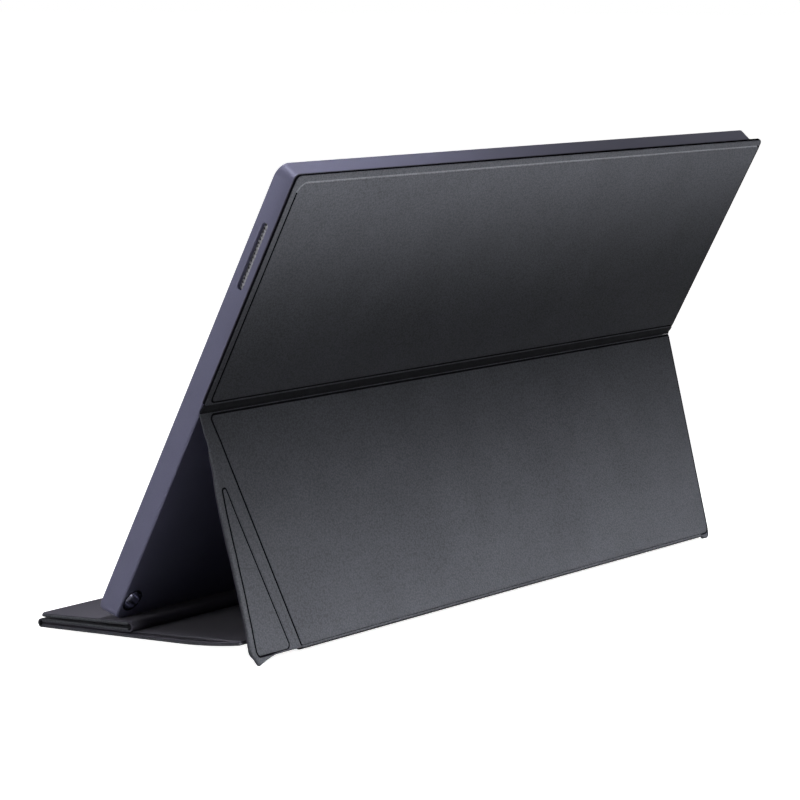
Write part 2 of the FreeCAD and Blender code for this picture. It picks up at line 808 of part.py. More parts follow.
def fold_strip():
    """Soft strip between the upper panel and the stand."""
    upper_end = display_frame.multVec(V(0, upper_bottom_height - seam_gap, -upper_thickness / 2))
    valley = display_frame.multVec(V(0, stand_pivot_height, -stand_pivot_behind))
    points = [(upper_end.y, upper_end.z), (valley.y, valley.z),
              stand_point(stand_start - seam_gap, (stand_inner + stand_outer) / 2)]
    return ribbon(points, strip_thickness, -cover_half_width, cover_half_width)


# The spine lies folded against the stand's inner face
spine_face = stand_inner - spine_gap
spine_back = spine_face - spine_thickness
spine_high = foot_pivot_s - spine_end_from_pivot
spine_low = spine_high - spine_length
spine_pivot_s = spine_low - base_end_from_pivot
spine_pivot_h = (spine_face + spine_back) / 2
spine_x0 = spine_side_inset - cover_half_width
spine_x1 = stand_foot_edge - crease_top_inset


def spine_panel():
    """Narrow stiff strip that goes round the display's lower edge when the cover is shut."""
    outline = rectangle(spine_x0, spine_x1, spine_low, spine_high)
    return sandwich(outline, [spine_hem] * 4, spine_face, -1, base_skin, base_board, base_lining)


def foot_strip():
    """Soft U-shaped strip at the stand's foot, between the stand and the spine."""
    return fold(1, spine_high + seam_gap, stand_length + seam_gap, foot_pivot_s - strip_thickness / 2,
                spine_back, stand_outer, spine_x0, spine_x1)


# The lower layer bends up from the table to meet the spine
spine_pivot = stand_frame.multVec(V(0, spine_pivot_s, spine_pivot_h))
local_pivot = base_frame.inverse().multVec(spine_pivot)


def bend_end(turn, radius):
    """Middle of the lower layer's rear end, and the pivot beyond it, for a bend of this radius."""
    reach = radius - base_layer / 2
    return (base_straight + reach * math.sin(turn) + base_end_from_pivot * math.cos(turn),
            radius - reach * math.cos(turn) + base_end_from_pivot * math.sin(turn))


def solve_bend():
    """Turn and radius of the bend that brings the lower layer to the spine's pivot."""
    low, high = math.radians(1), math.radians(60)
    for _ in range(60):
        turn = (low + high) / 2
        run = local_pivot.y - base_straight - base_end_from_pivot * math.cos(turn)
        radius = run / math.sin(turn) + base_layer / 2
        if bend_end(turn, radius)[1] < local_pivot.z:
            low = turn
        else:
            high = turn
    return turn, radius


bend_turn, bend_radius = solve_bend()


def bent_layer(x0, x1, s0, h0, h1, turn):
    """Layer of the lower panel between two levels: straight from the front, then bent upwards."""
    def around(radius, angle):
        return V(x0, base_straight + radius * math.sin(angle), bend_radius - radius * math.cos(angle))

    outer, inner = bend_radius - h0, bend_radius - h1
    edges = [
        Part.LineSegment(V(x0, s0, h0), V(x0, base_straight, h0)),
        Part.Arc(around(outer, 0), around(outer, turn / 2), around(outer, turn)),
        Part.LineSegment(around(outer, turn), around(inner, turn)),
        Part.Arc(around(inner, turn), around(inner, turn / 2), around(inner, 0)),
        Part.LineSegment(V(x0, base_straight, h1), V(x0, s0, h1)),
        Part.LineSegment(V(x0, s0, h1), V(x0, s0, h0)),
    ]
    return Part.Face(Part.Wire([edge.toShape() for edge in edges])).extrude(V(x1 - x0, 0, 0))


def lower_panel():
    """Lowest layer of the base, skin side down."""
    board_turn = bend_turn - base_hem / bend_radius
    x = cover_half_width
    skin_top = base_skin
    board_top = base_skin + base_board
    board = bent_layer(base_hem - x, x - base_hem, base_hem, skin_top, board_top, board_turn)
    pocket_hem = base_hem - board_fit
    pocket_turn = board_turn + board_fit / bend_radius
    pocket = bent_layer(pocket_hem - x, x - pocket_hem, pocket_hem, skin_top, board_top, pocket_turn)
    return {
        "skin": bent_layer(-x, x, 0, 0, board_top, bend_turn).cut(pocket),
        "board": board,
        "lining": bent_layer(-x, x, 0, board_top, base_layer, bend_turn),
    }


def middle_panel():
    """Middle layer of the base, skin side up."""
    outline = rectangle(-cover_half_width, cover_half_width, 0, middle_length)
    return sandwich(outline, [base_hem] * 4, middle_low, 1, base_skin, base_board, base_lining)


flap_magnet_places = [-cover_half_width / 2, 0, cover_half_width / 2]


def flap_magnet_bars(grow):
    """Magnets near the free edge of the flap, or their pockets when grown."""
    s = base_hem + flap_magnet_width - top_length
    along = flap_magnet_length / 2 + grow
    wide = flap_magnet_width / 2 + grow
    return [block(x - along, x + along, s - wide, s + wide, base_skin, base_skin + base_board)
            for x in flap_magnet_places]


def top_panel():
    """Top layer of the base, lining side up, under the display's foot."""
    outline = rectangle(-cover_half_width, cover_half_width, -top_length, -seam_gap)
    pieces = sandwich(outline, [base_hem] * 4, base_layer, -1, base_skin, base_board, base_lining,
                      top_corner_radius)
    pieces["board"] = cut_all(pieces["board"], flap_magnet_bars(board_fit))
    return pieces


def front_fold_strip():
    """Soft strip round the front edge of the base."""
    return fold(-1, -seam_gap, -seam_gap, -fold_setback, 0, middle_high, -cover_half_width, cover_half_width)


def back_fold_strip():
    """Soft strip round the back edge of the folded flap."""
    end = middle_length + seam_gap
    return fold(1, end, end, middle_length + fold_setback, middle_low, top_low_at_back + base_layer,
                -cover_half_width, cover_half_width)


def spine_strip():
    """Soft strip between the spine and the lower layer."""
    reach = bend_radius - base_layer / 2
    end_s = base_straight + reach * math.sin(bend_turn) + seam_gap * math.cos(bend_turn)
    end_h = bend_radius - reach * math.cos(bend_turn) + seam_gap * math.sin(bend_turn)
    lower_end = base_frame.multVec(V(0, end_s, end_h))
    points = [stand_point(spine_low - seam_gap, spine_pivot_h), (spine_pivot.y, spine_pivot.z),
              (lower_end.y, lower_end.z)]
    return ribbon(points, strip_thickness, spine_x0, spine_x1)


def display_pieces():
    """Every piece of the display, in its own sheet."""
    inside = tray_sheet
    return {
        "rear_housing": rear_housing(),
        "front_bezel": front_bezel(),
        "lcd_cell": sheet_of_screen(cell_back, bezel_back, 0),
        "optical_films": sheet_of_screen(film_back, cell_back, inside),
        "light_guide": light_guide(),
        "led_bar": led_bar(),
        "reflector_sheet": sheet_of_screen(reflector_back, guide_back, inside),
        "panel_tray": panel_tray(),
        "panel_tapes": panel_tapes(),
        "panel_driver_board": panel_driver_board(),
        "panel_flexes": panel_flexes(),
        "main_board": main_board(),
        "board_screws": board_screws(),
        "board_shield": board_shield(),
        "picture_chip": picture_chip(),
        "panel_cable": panel_cable(),
        "usb_c_sockets": usb_c_sockets(),
        "hdmi_micro_socket": hdmi_micro_socket(),
        "audio_jack": audio_jack(),
        "speaker_right": speaker(1),
        "speaker_left": speaker(-1),
        "speaker_mesh_right": speaker_mesh(1),
        "speaker_mesh_left": speaker_mesh(-1),
        "speaker_leads": speaker_leads(),
        "button_board": button_board(),
        "power_button": side_button(button_heights[2]),
        "menu_button": side_button(button_heights[1]),
        "select_button": side_button(button_heights[0]),
        "pen_hole_sleeve": pen_hole_sleeve(),
        "status_light": status_light(),
        "keeper_plates": keeper_plates(),
        "cover_magnets": Part.makeCompound(magnet_bars(0)),
    }


def named(prefix, pieces):
    """Node names of one cover panel."""
    return {prefix + "_" + part: shape for part, shape in pieces.items()}


def all_nodes():
    """Every node of the standing object, before its origin is set."""
    nodes = {name: put(shape, display_frame) for name, shape in display_pieces().items()}
    nodes.update({name: put(shape, display_frame) for name, shape in named("upper", upper_panel()).items()})
    nodes["fold_strip"] = fold_strip()
    nodes.update({name: on_table(shape) for name, shape in named("stand", stand_panel()).items()})
    nodes.update({name: on_table(shape) for name, shape in named("corner", corner_panel()).items()})
    nodes["corner_strip"] = on_table(corner_strip())
    nodes.update({name: put(shape, stand_frame) for name, shape in named("spine", spine_panel()).items()})
    nodes["foot_strip"] = put(foot_strip(), stand_frame)
    nodes["spine_strip"] = spine_strip()
    nodes.update({name: put(shape, base_frame) for name, shape in named("lower", lower_panel()).items()})
    nodes.update({name: put(shape, base_frame) for name, shape in named("middle", middle_panel()).items()})
    nodes.update({name: put(shape, top_frame) for name, shape in named("top", top_panel()).items()})
    nodes["front_fold_strip"] = put(front_fold_strip(), base_frame)
    nodes["back_fold_strip"] = put(back_fold_strip(), base_frame)
    nodes["flap_magnets"] = put(Part.makeCompound(flap_magnet_bars(0)), top_frame)
    return nodes


# The origin is the bottom centre of the standing object
nodes = all_nodes()
room = Part.makeCompound(list(nodes.values())).optimalBoundingBox(False)
origin = V((room.XMin + room.XMax) / 2, (room.YMin + room.YMax) / 2, room.ZMin)
os.makedirs("parts", exist_ok=True)
for name, shape in nodes.items():
    shape.translate(-origin)
    shape.exportStep("parts/" + name + ".step")
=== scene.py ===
"""Looks of the portable monitor standing in its fold-up cover: cover meshes, finishes, light and camera.

Cover pieces are drawn flat in a sheet (x, s, h): x across, s along the sheet, h through it, in millimetres.
The sheet then places them in the shared frame, in metres.
"""

import json
import math

import bpy
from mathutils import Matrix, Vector


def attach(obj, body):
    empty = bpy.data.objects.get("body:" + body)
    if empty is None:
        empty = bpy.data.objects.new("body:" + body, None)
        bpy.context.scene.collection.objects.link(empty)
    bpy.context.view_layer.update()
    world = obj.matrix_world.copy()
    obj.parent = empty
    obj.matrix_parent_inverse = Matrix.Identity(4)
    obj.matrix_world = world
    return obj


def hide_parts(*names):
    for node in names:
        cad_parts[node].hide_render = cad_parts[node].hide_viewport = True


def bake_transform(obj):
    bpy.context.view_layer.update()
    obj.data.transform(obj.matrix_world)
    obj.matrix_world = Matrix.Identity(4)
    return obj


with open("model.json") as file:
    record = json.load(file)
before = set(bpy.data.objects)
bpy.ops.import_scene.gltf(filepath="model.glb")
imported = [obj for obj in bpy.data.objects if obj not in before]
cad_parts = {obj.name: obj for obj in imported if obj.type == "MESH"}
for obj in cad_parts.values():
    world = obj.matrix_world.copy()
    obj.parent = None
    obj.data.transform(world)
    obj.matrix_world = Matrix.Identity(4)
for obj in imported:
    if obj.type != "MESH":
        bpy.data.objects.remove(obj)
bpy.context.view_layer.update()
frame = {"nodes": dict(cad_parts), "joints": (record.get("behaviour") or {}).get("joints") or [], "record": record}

MM = 0.001

# Cover panels: levels and widths are across and through a panel, edges are how far its rims are rounded
cover_half = 179.5
hem_drop = 0.15
groove_width = 1.2
groove_depth = 0.28
edge_round = 0.75
square_edge = 0.02
seam = 0.05
thin_edge = 0.18
base_edge = 0.3
lining_edge = 0.12
strip_thickness = 0.8
wall_tuck = 0.25
wall_foot = 0.2
full_shoulder = 2.4
rim_margin = 0.8
least_radius = 0.04
longest_cut = 0.49

# Upper panel
upper_low = 116.2
upper_high = 228.0
upper_levels = (0.0, -0.5, -2.1)
upper_lift = 0.01

# Stand panel and its corner
lean = math.radians(14.6)
stand_start = 0.1
stand_length = 106.1
ear_tip = 109.4
stand_levels = (-0.9, -0.4, 1.1)
crease_top = 176.6
crease_foot = 148.6
corner_foot = 151.6
corner_top = 16.0
corner_top_width = 1.5
crease_middle = 54.0
crease_step = (4.0, 1.1)
corner_shoulder = 1.0
soft_hem_start = 168.0
soft_hem_width = 11.0
table_clearance = 0.02

# Valley above the stand: how far its curve runs straight on from each panel
valley_runs = (3.0, 1.8)

# Spine strip inside the foot
spine_sides = (-171.5, 145.7)
spine_span = (99.33, 106.13)
spine_levels = (-1.4, -1.8, -3.0)
foot_turn = 106.3
foot_reach = 0.55
foot_thickness = 0.3
foot_levels = (-3.0, 0.85)
rear_run = 1.2

# Base flap, folded in three
slope = math.radians(3.3)
wedge = math.atan2(0.7, 54.0)
pen_height = 11.0
display_depth = 9.4
base_layer = 1.6
base_lining = 0.4
middle_low = 2.4
middle_length = 54.0
top_rise = 5.5
top_length = 55.5
fold_setback = 0.3
top_lining_setback = [0.35, 0.35, 0.02, 0.35]
lower_straight = 84.0
lower_bend_radius = 281.62
lower_bend = math.radians(7.15)
lower_side_points = 60

# Points on each rounded corner and each side of an outline
arc_points = 7
side_points = 22

# Rings of a panel's side wall and of its rolled edge; the first rings of the roll keep the wall's finish, so that
# on the upper panel they carry painted shade as a dark outline
wall_rings = 2
roll_rings = 6
painted_shade_roll_rings = 2

# Groove across its width: (place, depth, slot of the finish), in shares, where slot 1 is the painted groove shade;
# then the rise to the raised middle
groove_profile = [(-0.5, 0.0, 0), (-0.36, 0.3, 1), (-0.14, 1.0, 1), (0.14, 1.0, 1), (0.34, 0.0, 0)]
groove_end = 0.34
shoulder_profile = [(0.1, 0.6), (0.25, 0.9), (0.55, 1.0), (1.0, 1.0)]

# Rim of a thin sheet: (inwards, level), in shares
rim_profile = [(1.0, 0.0), (0.3, 0.15), (0.0, 0.4), (0.0, 0.6), (0.3, 0.85), (1.0, 1.0)]


class Sheet:
    """Flat frame of one panel."""

    def __init__(self, origin, angle):
        self.origin = Vector(origin)
        self.along = Vector((0, math.cos(angle), math.sin(angle)))
        self.out = Vector((0, -math.sin(angle), math.cos(angle)))

    def at(self, x, s, h):
        """Point of the sheet in the shared frame."""
        return self.origin + Vector((x * MM, 0, 0)) + self.along * (s * MM) + self.out * (h * MM)


joint_at = {joint["name"]: Vector(joint["pos_m"]) for joint in frame["joints"] if "pos_m" in joint}
pen_hole = next(mount for mount in frame["record"]["mounts"] if mount["name"] == "pen_hole")
screen_axis = Vector(pen_hole["axis"])
display = Sheet((0, 0, 0), math.atan2(-screen_axis.y, screen_axis.z))
pen_place = Vector((0, *pen_hole["pos_m"][1:]))
display.origin = pen_place - display.at(0, pen_height, display_depth / 2)
stand = Sheet(joint_at["stand_fold"], lean - math.pi / 2)
base = Sheet((0, 0, 0), slope)
base.origin = joint_at["front_crease"] - base.at(0, -fold_setback, (middle_low + base_layer) / 2)
top = Sheet(base.at(0, middle_length, top_rise), slope + wedge)


def lower_at(x, s, h):
    """Point of the lowest layer, which bends up from the table behind its straight part."""
    if s <= lower_straight:
        return base.at(x, s, h)
    turn = (s - lower_straight) / (lower_bend_radius - base_layer / 2)
    reach = lower_bend_radius - h
    return base.at(x, lower_straight + reach * math.sin(turn), lower_bend_radius - reach * math.cos(turn))


lower_end = lower_straight + (lower_bend_radius - base_layer / 2) * lower_bend


def smooth(t):
    """Ease from 0 to 1."""
    t = min(max(t, 0.0), 1.0)
    return t * t * (3 - 2 * t)


def along_table(pairs, s):
    """Value at s of a table of (s, value) pairs, eased between them."""
    for (s0, v0), (s1, v1) in zip(pairs, pairs[1:]):
        if s <= s1:
            return v0 + (v1 - v0) * smooth((s - s0) / (s1 - s0))
    return pairs[-1][1]


# How far the soft hem at the stand's near side wanders from its straight line
hem_wander = [(0, 0.6), (7, 0.3), (14, -0.8), (24, -1.5), (33, -0.6), (42, -0.5), (53, -0.8), (64, -1.4),
              (80, -1.9), (93, -2.0), (102, -1.5), (110, -2.0)]


def stand_at(x, s, h):
    """Point of the stand's sheet, with its near hem a little uneven and nothing under the table."""
    pull = smooth((x - soft_hem_start) / soft_hem_width)
    point = stand.at(x + along_table(hem_wander, s) * pull, s, h)
    point.z = max(point.z, table_clearance * MM)
    return point


def inset(points, distances):
    """Move each side of a counter-clockwise outline inwards by its own distance."""
    sides = []
    for i, (x, s) in enumerate(points):
        next_x, next_s = points[(i + 1) % len(points)]
        length = math.hypot(next_x - x, next_s - s)
        dx, ds = (next_x - x) / length, (next_s - s) / length
        sides.append((x - ds * distances[i], s + dx * distances[i], dx, ds))
    corners = []
    for i, (x, s, dx, ds) in enumerate(sides):
        px, ps, pdx, pds = sides[i - 1]
        cross = pdx * ds - pds * dx
        if abs(cross) < 1e-6:
            corners.append((x, s))
            continue
        along = ((x - px) * ds - (s - ps) * dx) / cross
        corners.append((px + pdx * along, ps + pds * along))
    return corners


def outline_ring(points, radii, side_steps, arc_steps=arc_points):
    """Closed line of an outline with each corner rounded, always with the same count of points."""
    count = len(points)
    starts, ends, weights = [], [], []
    for i in range(count):
        corner = Vector(points[i])
        back = Vector(points[i - 1]) - corner
        ahead = Vector(points[(i + 1) % count]) - corner
        half_turn = (math.pi - back.angle(ahead)) / 2
        cut = min(radii[i] * math.tan(half_turn), back.length * longest_cut, ahead.length * longest_cut)
        starts.append(corner + back.normalized() * cut)
        ends.append(corner + ahead.normalized() * cut)
        weights.append(math.cos(half_turn))
    ring = []
    for i in range(count):
        corner = Vector(points[i])
        for k in range(arc_steps + 1):
            t = k / arc_steps
            a, b, c = (1 - t) ** 2, 2 * weights[i] * t * (1 - t), t ** 2
            ring.append((starts[i] * a + corner * b + ends[i] * c) / (a + b + c))
        reach = starts[(i + 1) % count] - ends[i]
        for k in range(1, side_steps):
            ring.append(ends[i] + reach * (k / side_steps))
    return ring


def is_hollow(points, i):
    """True where the outline turns inwards at a corner."""
    back = Vector(points[i]) - Vector(points[i - 1])
    ahead = Vector(points[(i + 1) % len(points)]) - Vector(points[i])
    return back.cross(ahead) < 0


def ring_inside(points, radii, distances, side_steps):
    """Ring of an outline moved inwards, with its corner radii kept parallel."""
    fitted = []
    for i, radius in enumerate(radii):
        step = (distances[i - 1] + distances[i]) / 2
        fitted.append(max(radius + step if is_hollow(points, i) else radius - step, least_radius))
    return outline_ring(inset(points, distances), fitted, side_steps)


def loft(name, rings, place, materials, tints=None, sharp_deg=38):
    """Mesh through a stack of rings, each a list of (x, s) with its own level, closed at both ends."""
    count = len(rings[0][0])
    points = [place(x, s, level) for ring, level in rings for x, s in ring]
    faces, slots = [], []
    for k in range(len(rings) - 1):
        low, high = k * count, (k + 1) * count
        for i in range(count):
            j = (i + 1) % count
            faces.append((low + i, low + j, high + j, high + i))
            slots.append(tints[k] if tints else 0)
    faces.append(tuple(reversed(range(count))))
    faces.append(tuple(range((len(rings) - 1) * count, len(rings) * count)))
    slots += [0, 0]
    return mesh_piece(name, points, faces, materials, slots, sharp_deg)


def mesh_piece(name, points, faces, materials, slots, sharp_deg=38):
    """Object of a mesh with shared corners, turned to face outwards and shaded smooth up to an angle."""
    mesh = bpy.data.meshes.new(name)
    mesh.from_pydata([tuple(point) for point in points], [], faces)
    for material in materials:
        mesh.materials.append(material)
    mesh.polygons.foreach_set("material_index", slots)
    mesh.polygons.foreach_set("use_smooth", [True] * len(faces))
    mesh.update()
    piece = bpy.data.objects.new(name, mesh)
    bpy.context.scene.collection.objects.link(piece)
    face_outwards(mesh)
    mesh.set_sharp_from_angle(angle=math.radians(sharp_deg))
    return piece


def face_outwards(mesh):
    """Turn a closed mesh so that its faces look outwards."""
    volume = 0.0
    for polygon in mesh.polygons:
        first = mesh.vertices[polygon.vertices[0]].co
        for a, b in zip(polygon.vertices[1:], polygon.vertices[2:]):
            volume += first.dot(mesh.vertices[a].co.cross(mesh.vertices[b].co))
    if volume < 0:
        mesh.flip_normals()


def boarded(name, place, points, radii, edges, groove_line, groove_radii, low, top_level, finishes,
            shoulder=full_shoulder, wall=0):
    """Skin of a stiffened panel: rolled edge, flat hem, pressed groove and a slightly raised middle.

    The groove line has one corner for each corner of the outline. The shoulder is where the middle is full
    height, and wall is the slot of the finish on the panel's side walls and first roll rings. Finish slot 1 is
    painted shade for the groove bottom, and for the walls where wall is 1.
    """
    facing = 1 if top_level > low else -1
    hem_level = top_level - facing * hem_drop
    count = len(points)
    rings, tints = [], []

    def add(distances, level, tint=0):
        rings.append((ring_inside(points, radii, distances, side_points), level))
        tints.append(tint)

    def add_groove(share, level, tint):
        distances = [groove_width * share] * count
        rings.append((ring_inside(groove_line, groove_radii, distances, side_points), level))
        tints.append(tint)

    add([min(edge, wall_tuck) for edge in edges], low, wall)
    add([0.0] * count, low + facing * wall_foot, wall)
    for k in range(roll_rings):
        angle = math.pi / 2 * k / (roll_rings - 1)
        add([edge * (1 - math.cos(angle)) for edge in edges],
            hem_level - facing * edge_round * (1 - math.sin(angle)), wall if k < painted_shade_roll_rings else 0)
    for share, drop, tint in groove_profile:
        add_groove(share, hem_level - facing * groove_depth * drop, tint)
    for share, rise in shoulder_profile:
        add_groove(groove_end + (shoulder - groove_end) * share, hem_level + facing * hem_drop * rise, 0)
    return loft(name, rings, place, finishes, tints)


def paint_groove_highlight(piece, side, corners):
    """Give the groove on one side of a panel the painted highlight finish in its third slot."""
    ring = corners * (arc_points + side_points)
    for polygon in piece.data.polygons:
        on_groove = polygon.material_index == 1 and polygon.index // ring >= wall_rings + roll_rings
        if on_groove and polygon.index % ring // (ring // corners) == side:
            polygon.material_index = 2


def plain_sheet(name, place, points, radii, low, high, material, edges, side_steps=side_points):
    """Thin sheet with softly rounded rims, one roundness for each side."""
    rings = []
    for inwards, level in rim_profile:
        rings.append((ring_inside(points, radii, [edge * inwards for edge in edges], side_steps),
                      low + (high - low) * level))
    rings.append((ring_inside(points, radii, [edge + rim_margin for edge in edges], side_steps), high))
    return loft(name, rings, place, [material])


def bent_strip(name, path, thickness, x0, x1, material, x_steps=40):
    """Strip of even thickness whose side view follows a path of points (y, z) in metres."""
    half = thickness * MM / 2
    left, right = [], []
    for i, point in enumerate(path):
        before, after = path[max(i - 1, 0)], path[min(i + 1, len(path) - 1)]
        direction = (Vector(after) - Vector(before)).normalized()
        normal = Vector((-direction.y, direction.x))
        left.append(Vector(point) + normal * half)
        right.append(Vector(point) - normal * half)
    loop = left + right[::-1]
    count = len(loop)
    points, faces = [], []
    for k in range(x_steps + 1):
        x = x0 + (x1 - x0) * k / x_steps
        for y, z in loop:
            points.append(Vector((x * MM, y, z)))
    for k in range(x_steps):
        for i in range(count):
            j = (i + 1) % count
            faces.append((k * count + i, k * count + j, (k + 1) * count + j, (k + 1) * count + i))
    for i in range(len(path) - 1):
        a, b, c, d = i, i + 1, count - 2 - i, count - 1 - i
        faces.append((d, c, b, a))
        end = x_steps * count
        faces.append((end + a, end + b, end + c, end + d))
    return mesh_piece(name, points, faces, [material], [0] * len(faces), sharp_deg=50)


def rectangle(x0, x1, s0, s1):
    """Corners of a rectangle, counter-clockwise."""
    return [(x0, s0), (x1, s0), (x1, s1), (x0, s1)]


def side_point(point):
    """(y, z) of a point in the shared frame."""
    return (point.y, point.z)


def curve(p0, p1, p2, p3, steps=14):
    """Points of a cubic curve in the side view."""
    points = []
    for k in range(steps + 1):
        t = k / steps
        a, b, c, d = (1 - t) ** 3, 3 * t * (1 - t) ** 2, 3 * t ** 2 * (1 - t), t ** 3
        points.append(tuple(a * w + b * x + c * y + d * z for w, x, y, z in zip(p0, p1, p2, p3)))
    return points


def u_turn(sheet, side, s_first, s_last, s_centre, h_first, h_last, reach=None, steps=16):
    """Side-view path of a strip that runs out, turns back on itself and runs home again."""
    middle = (h_first + h_last) / 2
    radius = (h_last - h_first) / 2
    reach = reach or radius
    path = [(s_first, h_first)] if abs(s_first - s_centre) > seam else []
    for k in range(steps + 1):
        angle = math.pi * k / steps
        path.append((s_centre + side * reach * math.sin(angle), middle - radius * math.cos(angle)))
    if abs(s_last - s_centre) > seam:
        path.append((s_last, h_last))
    return [side_point(sheet.at(0, s, h)) for s, h in path]


# Finishes


fine_share = 0.6
broad_times = 60


def finish(name, colour, rough, metal=0.0, grain_mm=0.6, relief_mm=0.01, tone=0.08, spread=0.06, sheen=0.0,
           clear=0.0, shine=0.5):
    """Surface with fine grain: tone and roughness follow a fine and a broad noise, relief the fine one."""
    material = bpy.data.materials.new(name)
    material.use_nodes = True
    tree = material.node_tree
    surface = tree.nodes["Principled BSDF"]
    place = tree.nodes.new("ShaderNodeTexCoord")
    fine = tree.nodes.new("ShaderNodeTexNoise")
    fine.inputs["Scale"].default_value = 1 / (grain_mm * MM)
    fine.inputs["Detail"].default_value = 3.0
    tree.links.new(place.outputs["Object"], fine.inputs["Vector"])
    broad = tree.nodes.new("ShaderNodeTexNoise")
    broad.inputs["Scale"].default_value = 1 / (grain_mm * MM * broad_times)
    broad.inputs["Detail"].default_value = 2.0
    tree.links.new(place.outputs["Object"], broad.inputs["Vector"])
    level = tree.nodes.new("ShaderNodeMath")
    level.operation = "MULTIPLY_ADD"
    level.inputs[1].default_value = fine_share
    tree.links.new(fine.outputs["Fac"], level.inputs[0])
    share = tree.nodes.new("ShaderNodeMath")
    share.operation = "MULTIPLY"
    share.inputs[1].default_value = 1 - fine_share
    tree.links.new(broad.outputs["Fac"], share.inputs[0])
    tree.links.new(share.outputs[0], level.inputs[2])
    shade = tree.nodes.new("ShaderNodeMix")
    shade.data_type = "RGBA"
    shade.inputs["A"].default_value = (*[c * (1 - tone * 2) for c in colour], 1)
    shade.inputs["B"].default_value = (*[min(c * (1 + tone * 2), 1.0) for c in colour], 1)
    tree.links.new(level.outputs[0], shade.inputs["Factor"])
    tree.links.new(shade.outputs["Result"], surface.inputs["Base Color"])
    gloss = tree.nodes.new("ShaderNodeMapRange")
    gloss.inputs["To Min"].default_value = max(rough - spread * 2, 0.02)
    gloss.inputs["To Max"].default_value = min(rough + spread * 2, 1.0)
    tree.links.new(level.outputs[0], gloss.inputs["Value"])
    tree.links.new(gloss.outputs["Result"], surface.inputs["Roughness"])
    bump = tree.nodes.new("ShaderNodeBump")
    bump.inputs["Strength"].default_value = 1.0
    bump.inputs["Distance"].default_value = relief_mm * MM
    tree.links.new(fine.outputs["Fac"], bump.inputs["Height"])
    tree.links.new(bump.outputs["Normal"], surface.inputs["Normal"])
    surface.inputs["Metallic"].default_value = metal
    surface.inputs["Sheen Weight"].default_value = sheen
    surface.inputs["Transmission Weight"].default_value = clear
    surface.inputs["Specular IOR Level"].default_value = shine
    return material


pebble_mm = 0.8
pebble_relief_mm = 0.06
pebble_tones = (1.12, 0.78)


def leather(name, colour, rough, shine=0.008):
    """Pressed leather-look skin: small pebbles, darker between them, over finer noise and slow tone changes."""
    material = finish(name, colour, rough, grain_mm=0.5, relief_mm=0.03, tone=0.2, spread=0.07, shine=shine)
    tree = material.node_tree
    surface = tree.nodes["Principled BSDF"]
    bump = next(node for node in tree.nodes if node.type == "BUMP")
    place = next(node for node in tree.nodes if node.type == "TEX_COORD")
    shade = next(node for node in tree.nodes if node.type == "MIX")
    pebbles = tree.nodes.new("ShaderNodeTexVoronoi")
    pebbles.feature = "SMOOTH_F1"
    pebbles.inputs["Scale"].default_value = 1 / (pebble_mm * MM)
    pebbles.inputs["Smoothness"].default_value = 0.35
    tree.links.new(place.outputs["Object"], pebbles.inputs["Vector"])
    hollow = tree.nodes.new("ShaderNodeMapRange")
    hollow.inputs["From Min"].default_value = 0.15
    hollow.inputs["From Max"].default_value = 0.75
    hollow.inputs["To Min"].default_value = pebble_tones[0]
    hollow.inputs["To Max"].default_value = pebble_tones[1]
    tree.links.new(pebbles.outputs["Distance"], hollow.inputs["Value"])
    darker = tree.nodes.new("ShaderNodeVectorMath")
    darker.operation = "SCALE"
    tree.links.new(shade.outputs["Result"], darker.inputs["Vector"])
    tree.links.new(hollow.outputs["Result"], darker.inputs["Scale"])
    tree.links.new(darker.outputs["Vector"], surface.inputs["Base Color"])
    second = tree.nodes.new("ShaderNodeBump")
    second.invert = True
    second.inputs["Strength"].default_value = 1.0
    second.inputs["Distance"].default_value = pebble_relief_mm * MM
    tree.links.new(pebbles.outputs["Distance"], second.inputs["Height"])
    tree.links.new(bump.outputs["Normal"], second.inputs["Normal"])
    tree.links.new(second.outputs["Normal"], surface.inputs["Normal"])
    return material


skin = leather("cover_skin_grain", (0.083, 0.086, 0.098), 0.5)
# Painted shade: much darker skin for the valley strip and foot lip, where the cover lies in shadow
fold_shade_skin = leather("cover_skin_fold_painted_shade", (0.015, 0.0155, 0.018), 0.55)
# Painted shade: near-black skin for the groove bottoms and the upper panel's side walls
groove_shade = leather("cover_skin_painted_groove_shade", (0.006, 0.006, 0.008), 0.8, 0.0)
# Painted highlight: lighter skin for the top groove's wall on the upper panel, where light catches it
groove_highlight = leather("cover_skin_painted_highlight", (0.17, 0.176, 0.195), 0.45, 0.1)
lining = finish("cover_lining_suede", (0.068, 0.065, 0.083), 0.9, grain_mm=0.35, relief_mm=0.05, tone=0.14,
                sheen=0.03, shine=0.02)
board = finish("cover_board_grey", (0.22, 0.21, 0.2), 0.8, grain_mm=0.8, relief_mm=0.03)
housing = finish("housing_satin_violet", (0.13, 0.13, 0.2), 0.5, metal=0.12, grain_mm=0.4, relief_mm=0.006,
                 tone=0.12, shine=0.1)
bezel = finish("bezel_matte_black", (0.012, 0.012, 0.014), 0.55, grain_mm=0.3, relief_mm=0.006)
glass = finish("screen_dark_glass", (0.006, 0.006, 0.008), 0.24, grain_mm=0.2, relief_mm=0.002, tone=0.05,
               shine=0.3)
film = finish("diffuser_white", (0.75, 0.75, 0.74), 0.6)
acrylic = finish("guide_clear", (0.85, 0.88, 0.88), 0.15, clear=0.8, relief_mm=0.002)
circuit = finish("circuit_green", (0.02, 0.11, 0.05), 0.45, grain_mm=1.2, relief_mm=0.02, tone=0.15)
steel = finish("sheet_steel", (0.55, 0.55, 0.56), 0.35, metal=1.0, grain_mm=0.4, relief_mm=0.004)
tape = finish("tape_grey", (0.3, 0.3, 0.3), 0.7)
flex = finish("flex_amber", (0.35, 0.17, 0.03), 0.4, relief_mm=0.004)
black = finish("moulded_black", (0.015, 0.015, 0.016), 0.6, grain_mm=0.4, relief_mm=0.01)
